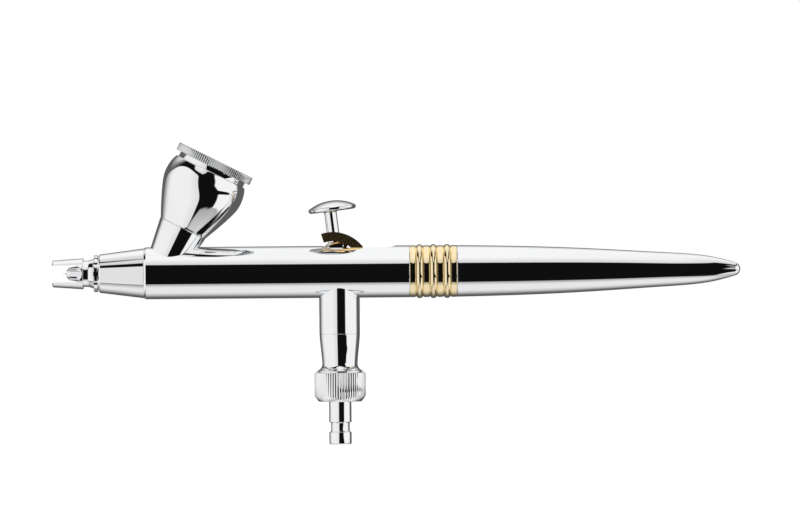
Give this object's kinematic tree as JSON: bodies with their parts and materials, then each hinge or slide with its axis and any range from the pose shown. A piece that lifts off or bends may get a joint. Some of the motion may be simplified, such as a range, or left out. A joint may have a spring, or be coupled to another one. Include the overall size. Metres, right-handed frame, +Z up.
{
  "type": "airbrush gun",
  "caption": "Gravity-feed double-action airbrush with a tilted lidded paint cup, finger trigger, air valve with a quick-coupling plug and a tapered handle.",
  "frame": {"origin": "where the barrel's axis crosses the air valve's axis, inside the barrel below the trigger", "axes": "+X along the barrel from the needle's point towards the tail, +Z up towards the trigger's pad, +Y across"},
  "size_m": [0.1535, 0.0186, 0.0677],
  "materials": {
    "chrome": "mirror chrome plate",
    "gold_ring": "polished gold plate",
    "gold_lever": "polished gold-coloured brass",
    "needle_steel": "ground and polished stainless steel",
    "spring_steel": "drawn stainless wire and turned pin",
    "brass": "turned brass",
    "ptfe": "white sealing plastic",
    "rubber": "black O-ring rubber"
  },
  "bodies": {
    "body": {"barrel": "chrome", "needle_packing": "ptfe", "packing_screw": "brass", "spring_sleeve": "brass", "grip_ring": "gold_ring", "valve_body": "chrome", "stem_seal": "ptfe", "stem_guide": "brass", "body_seal": "rubber", "valve_screw": "brass", "valve_spring": "spring_steel", "needle_spring": "spring_steel", "cup_seal": "ptfe", "nozzle_seal": "ptfe", "head_seal": "rubber"},
    "valve_pin": {"valve_stem": "spring_steel", "valve_seal": "rubber"},
    "trigger": {"trigger": "chrome"},
    "rear_lever": {"rear_lever": "gold_lever"},
    "needle_carriage": {"needle": "needle_steel", "needle_tube": "brass"},
    "chuck_nut": {"chuck_nut": "brass"},
    "air_head": {"air_head": "chrome", "air_cap": "chrome", "nozzle": "brass"},
    "needle_cap": {"needle_cap": "chrome"},
    "cup": {"paint_cup": "chrome"},
    "lid": {"cup_lid": "chrome"},
    "handle": {"handle": "chrome"},
    "plug": {"air_plug": "chrome", "plug_seal": "ptfe"}
  },
  "joints": [
    {"name": "trigger_press", "type": "slide", "parent": "body", "child": "valve_pin", "axis": [0, 0, -1], "range_m": [0, 0.0012], "stiffness_N_per_m": 500, "springref_m": -0.0002, "deforming": ["valve_spring"]},
    {"name": "trigger_pull", "type": "hinge", "parent": "valve_pin", "child": "trigger", "pos_m": [0, 0, -0.002], "axis": [0, 1, 0], "range_deg": [0, 24]},
    {"name": "rear_lever_tilt", "type": "hinge", "parent": "body", "child": "rear_lever", "pos_m": [0.0032, 0, -0.00295], "axis": [0, 1, 0], "range_deg": [0, 22.2]},
    {"name": "needle_slide", "type": "slide", "parent": "body", "child": "needle_carriage", "axis": [1, 0, 0], "range_m": [0, 0.0022], "stiffness_N_per_m": 600, "springref_m": -0.0002, "deforming": ["needle_spring"]},
    {"name": "chuck_nut_turn", "type": "hinge", "parent": "needle_carriage", "child": "chuck_nut", "pos_m": [0.042, 0, 0], "axis": [1, 0, 0], "range_deg": [0, 270]},
    {"name": "lid_lift", "type": "slide", "parent": "cup", "child": "lid", "axis": [0.4501, 0, 0.893], "range_m": [0, 0.008]},
    {"name": "cup_off", "type": "slide", "parent": "body", "child": "cup", "axis": [0.4501, 0, 0.893], "range_m": [0, 0.009]},
    {"name": "handle_off", "type": "slide", "parent": "body", "child": "handle", "axis": [1, 0, 0], "range_m": [0, 0.04]},
    {"name": "air_head_off", "type": "slide", "parent": "body", "child": "air_head", "axis": [-1, 0, 0], "range_m": [0, 0.02]},
    {"name": "needle_cap_off", "type": "slide", "parent": "air_head", "child": "needle_cap", "axis": [-1, 0, 0], "range_m": [0, 0.008]},
    {"name": "plug_off", "type": "slide", "parent": "body", "child": "plug", "axis": [0, 0, -1], "range_m": [0, 0.007]}
  ],
  "couplings": [
    {"joint": "rear_lever_tilt", "follows": "needle_slide", "rad_per_m": 175.08},
    {"joint": "trigger_pull", "follows": "needle_slide", "rad_per_m": 190.3}
  ]
}
